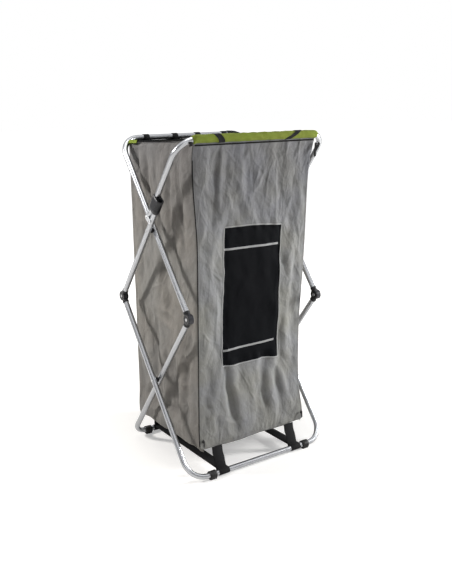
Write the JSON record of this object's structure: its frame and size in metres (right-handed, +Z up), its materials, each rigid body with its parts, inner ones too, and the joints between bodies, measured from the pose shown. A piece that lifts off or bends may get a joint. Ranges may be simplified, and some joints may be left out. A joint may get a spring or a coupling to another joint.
{
  "type": "folding camping cupboard",
  "caption": "Fabric cupboard with a zipped mesh-window door and shelves, hung in a folding double-scissor frame of aluminium tubes with sliding lock collars.",
  "frame": {"origin": "on the floor, in the middle of the four feet", "axes": "+Z up, -Y towards the front with the door and its mesh window, +X to the right seen from the front"},
  "size_m": [0.6064, 0.4764, 1.1428],
  "materials": {
    "anodised_tube": "bright satin anodised round tube",
    "knuckle_plastic": "black moulded plastic",
    "rivet_steel": "bright rivet heads",
    "plate_steel": "white-bright pressed plate",
    "collar_plastic": "black moulded plastic, slightly glossy",
    "foot_rubber": "black rubber",
    "grey_fabric": "warm mid-grey coated polyester, creased",
    "black_mesh": "black fly mesh with two grey stripes",
    "zip_black": "black coil zip",
    "shelf_cloth": "dark grey stiffened shelf cloth",
    "black_webbing": "black woven webbing",
    "green_fabric": "olive green woven polyester"
  },
  "bodies": {
    "case": {"left_side_wall": "grey_fabric", "right_side_wall": "grey_fabric", "rear_wall": "grey_fabric", "door_frame": "zip_black", "base_board": "shelf_cloth", "lower_shelf": "shelf_cloth", "middle_shelf": "shelf_cloth", "upper_shelf": "shelf_cloth", "roof_panel": "black_webbing", "left_floor_strap": "black_webbing", "right_floor_strap": "black_webbing"},
    "upper_crossing": {"left_upper_crossing_rivet": "rivet_steel", "right_upper_crossing_rivet": "rivet_steel", "left_upper_crossing_spacer": "knuckle_plastic", "right_upper_crossing_spacer": "knuckle_plastic"},
    "front_struts": {"left_strut": "anodised_tube", "right_strut": "anodised_tube", "left_rear_elbow_upper": "knuckle_plastic", "right_rear_elbow_upper": "knuckle_plastic", "left_rear_elbow_pin": "rivet_steel", "right_rear_elbow_pin": "rivet_steel", "left_lock_plate": "plate_steel", "right_lock_plate": "plate_steel", "left_lock_pin": "rivet_steel", "right_lock_pin": "rivet_steel"},
    "front_top_bow": {"front_bow": "anodised_tube", "front_sleeve": "green_fabric"},
    "left_collar": {"left_lock_collar": "collar_plastic"},
    "right_collar": {"right_lock_collar": "collar_plastic"},
    "rear_top_bow": {"rear_bow": "anodised_tube", "left_front_elbow_upper": "knuckle_plastic", "right_front_elbow_upper": "knuckle_plastic", "left_front_elbow_pin": "rivet_steel", "right_front_elbow_pin": "rivet_steel", "rear_loop_1": "black_webbing", "rear_loop_2": "black_webbing", "rear_loop_3": "black_webbing", "rear_loop_4": "black_webbing"},
    "front_floor_bow": {"front_left_leg": "anodised_tube", "front_right_leg": "anodised_tube", "front_floor_rail": "anodised_tube", "front_left_foot": "foot_rubber", "front_right_foot": "foot_rubber", "left_rear_elbow_lower": "knuckle_plastic", "right_rear_elbow_lower": "knuckle_plastic", "left_lower_crossing_rivet": "rivet_steel", "right_lower_crossing_rivet": "rivet_steel", "left_lower_crossing_spacer": "knuckle_plastic", "right_lower_crossing_spacer": "knuckle_plastic"},
    "rear_floor_bow": {"rear_left_leg": "anodised_tube", "rear_right_leg": "anodised_tube", "rear_floor_rail": "anodised_tube", "rear_left_foot": "foot_rubber", "rear_right_foot": "foot_rubber", "left_front_elbow_lower": "knuckle_plastic", "right_front_elbow_lower": "knuckle_plastic"},
    "door_flap": {"door": "grey_fabric", "mesh_window": "black_mesh"},
    "left_slider": {"left_zip_slider": "zip_black"},
    "right_slider": {"right_zip_slider": "zip_black"}
  },
  "joints": [
    {"name": "crossing_drop", "type": "slide", "parent": "case", "child": "upper_crossing", "axis": [0, 0, -1], "range_m": [0, 0.076]},
    {"name": "frame_fold", "type": "hinge", "parent": "upper_crossing", "child": "front_struts", "pos_m": [0, 0, 0.82844], "axis": [-1, 0, 0], "range_deg": [0, 33], "deforming": ["left_floor_strap", "right_floor_strap"]},
    {"name": "rear_bow_fold", "type": "hinge", "parent": "upper_crossing", "child": "rear_top_bow", "pos_m": [0, 0, 0.82844], "axis": [1, 0, 0], "range_deg": [0, 33.5]},
    {"name": "rear_elbows", "type": "hinge", "parent": "front_struts", "child": "front_floor_bow", "pos_m": [0, 0.20098, 0.56607], "axis": [1, 0, 0], "range_deg": [0, 66.5]},
    {"name": "front_elbows", "type": "hinge", "parent": "rear_top_bow", "child": "rear_floor_bow", "pos_m": [0, -0.20098, 0.56607], "axis": [-1, 0, 0], "range_deg": [0, 66.5]},
    {"name": "front_bow_hinge", "type": "hinge", "parent": "front_struts", "child": "front_top_bow", "pos_m": [0, -0.01071, 0.87455], "axis": [1, 0, 0], "range_deg": [-60, 0]},
    {"name": "left_collar_slide", "type": "slide", "parent": "front_top_bow", "child": "left_collar", "axis": [0, 0.6129, -0.7902], "range_m": [0, 0.027]},
    {"name": "right_collar_slide", "type": "slide", "parent": "front_top_bow", "child": "right_collar", "axis": [0, 0.6129, -0.7902], "range_m": [0, 0.027]},
    {"name": "door_lift", "type": "hinge", "parent": "case", "child": "door_flap", "pos_m": [0, -0.18737, 1.06594], "axis": [1, 0, 0], "range_deg": [-90, 0]},
    {"name": "left_slider_travel", "type": "slide", "parent": "case", "child": "left_slider", "axis": [0.0106, 0, -0.9999], "range_m": [-0.9, 0]},
    {"name": "right_slider_travel", "type": "slide", "parent": "case", "child": "right_slider", "axis": [-0.0106, 0, -0.9999], "range_m": [-0.9, 0]}
  ],
  "couplings": [
    {"joint": "crossing_drop", "follows": "frame_fold", "m_per_rad": 0.1311},
    {"joint": "rear_bow_fold", "follows": "frame_fold", "ratio": 1},
    {"joint": "rear_elbows", "follows": "frame_fold", "ratio": 2},
    {"joint": "front_elbows", "follows": "frame_fold", "ratio": 2}
  ]
}
